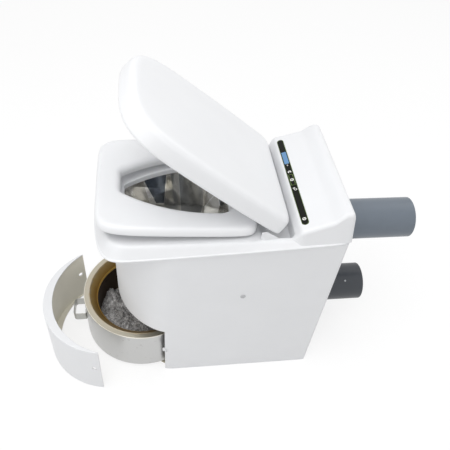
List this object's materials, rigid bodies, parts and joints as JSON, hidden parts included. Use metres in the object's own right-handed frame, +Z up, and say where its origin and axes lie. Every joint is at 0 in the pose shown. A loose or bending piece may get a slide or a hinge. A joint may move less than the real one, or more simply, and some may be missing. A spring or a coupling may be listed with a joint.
{
  "type": "incinerating toilet",
  "caption": "White free-standing incinerating toilet with lid, seat, control strip, rear air and exhaust pipes, pull-out round steel ash container and a curved clip-off front cover.",
  "frame": {"origin": "on the floor under the middle of the body, on the plane of symmetry", "axes": "+Z up, +Y towards the pipes at the back, -Y towards the front and the ash container, +X to the right of someone who faces the front seen from behind, which is the side nearer the camera"},
  "size_m": [0.4227, 1.0097, 0.8419],
  "materials": {
    "white_abs": "injection-moulded ABS, fine satin gloss",
    "white_hdpe": "rotation-moulded polyethylene shell, satin",
    "seat_plastic": "moulded seat and lid plastic, satin gloss",
    "tray_plastic": "pressed base tray, matt",
    "strip_glass": "black acrylic with printed icons",
    "display": "backlit display window",
    "board": "glass-fibre circuit board, solder mask",
    "grey_pads": "soft bumper rubber",
    "pins": "drawn stainless rod",
    "bowl_steel": "polished folded stainless sheet",
    "plate_steel": "zinc-plated folded sheet",
    "chamber_steel": "heat-tinted stainless sheet",
    "insulation": "ceramic fibre blanket",
    "heater": "oxidised nickel alloy sheath",
    "ceramic": "cast catalyst carrier",
    "motor": "black powder coat",
    "exhaust_plastic": "extruded grey polypropylene pipe",
    "intake_plastic": "extruded dark grey polypropylene pipe",
    "dark_rubber": "black rubber collar",
    "screw_plastic": "white screw cover",
    "drum_steel": "brushed stainless drum with scuffs",
    "rim_steel": "straw-tinted stainless rim",
    "pan_steel": "sooted, heat-blackened pan"
  },
  "bodies": {
    "toilet": {"base_tray": "tray_plastic", "body_shell": "white_hdpe", "top_cover": "white_abs", "control_strip": "strip_glass", "display_window": "display", "control_board": "board", "hinge_posts": "white_abs", "hinge_pins": "pins", "hinge_cheeks": "white_abs", "bowl": "bowl_steel", "bowl_gasket": "grey_pads", "hatch_frame": "plate_steel", "hatch_motor": "motor", "inner_frame": "plate_steel", "combustion_chamber": "chamber_steel", "chamber_insulation": "insulation", "chamber_jacket": "plate_steel", "chamber_seal": "insulation", "heating_element": "heater", "thermocouple": "plate_steel", "exhaust_duct": "plate_steel", "catalyst_box": "plate_steel", "catalyst": "ceramic", "fan_housing": "plate_steel", "fan_motor": "motor", "air_box": "plate_steel", "power_unit": "motor", "exhaust_pipe": "exhaust_plastic", "intake_pipe": "intake_plastic", "pipe_collars": "dark_rubber", "pipe_screws": "screw_plastic", "cable_gland": "dark_rubber", "drawer_rails": "plate_steel", "snap_studs": "screw_plastic", "side_screws": "screw_plastic"},
    "lid": {"lid_shell": "seat_plastic", "lid_liner": "seat_plastic", "lid_hinges": "pins", "lid_pads": "grey_pads"},
    "seat": {"seat_ring": "seat_plastic", "seat_hinges": "pins", "seat_pads": "grey_pads"},
    "ash_container": {"ash_drum": "drum_steel", "drum_rim": "rim_steel", "ash_pan": "pan_steel", "drum_insulation": "insulation", "drum_handle": "drum_steel"},
    "front_cover": {"front_cover": "white_hdpe"},
    "hatch_left": {"hatch_leaf_left": "plate_steel"},
    "hatch_right": {"hatch_leaf_right": "plate_steel"},
    "start_key": {"start_key": "strip_glass"},
    "lock_key": {"lock_key": "strip_glass"},
    "fan_rotor": {"fan_rotor": "plate_steel"}
  },
  "joints": [
    {"name": "lid_hinge", "type": "hinge", "parent": "toilet", "child": "lid", "pos_m": [0, 0.089, 0.556], "axis": [-1, 0, 0], "range_deg": [-36.2, 55.6]},
    {"name": "seat_hinge", "type": "hinge", "parent": "toilet", "child": "seat", "pos_m": [0, 0.089, 0.556], "axis": [-1, 0, 0], "range_deg": [-3.2, 30]},
    {"name": "ash_slide", "type": "slide", "parent": "toilet", "child": "ash_container", "axis": [0, 1, 0], "range_m": [0, 0.148]},
    {"name": "front_cover_path", "type": "hinge", "parent": "toilet", "child": "front_cover", "pos_m": [1.2281, 0.0857, 0], "axis": [0, 0, -1], "range_deg": [0, 9.91]},
    {"name": "hatch_left", "type": "hinge", "parent": "toilet", "child": "hatch_left", "pos_m": [-0.078, -0.06, 0.35], "axis": [0, 1, 0], "range_deg": [0, 85]},
    {"name": "hatch_right", "type": "hinge", "parent": "toilet", "child": "hatch_right", "pos_m": [0.078, -0.06, 0.35], "axis": [0, 1, 0], "range_deg": [-85, 0]},
    {"name": "start_key_press", "type": "slide", "parent": "toilet", "child": "start_key", "axis": [0, 0.3134, -0.9496], "range_m": [0, 0.0008], "stiffness_N_per_m": 600},
    {"name": "lock_key_press", "type": "slide", "parent": "toilet", "child": "lock_key", "axis": [0, 0.3134, -0.9496], "range_m": [0, 0.0008], "stiffness_N_per_m": 600},
    {"name": "fan_spin", "type": "hinge", "parent": "toilet", "child": "fan_rotor", "pos_m": [0, 0.19, 0.408], "axis": [0, 1, 0], "continuous": true}
  ],
  "couplings": [
    {"joint": "front_cover_path", "follows": "ash_slide", "rad_per_m": 1.1674},
    {"joint": "hatch_right", "follows": "hatch_left", "ratio": -1}
  ]
}
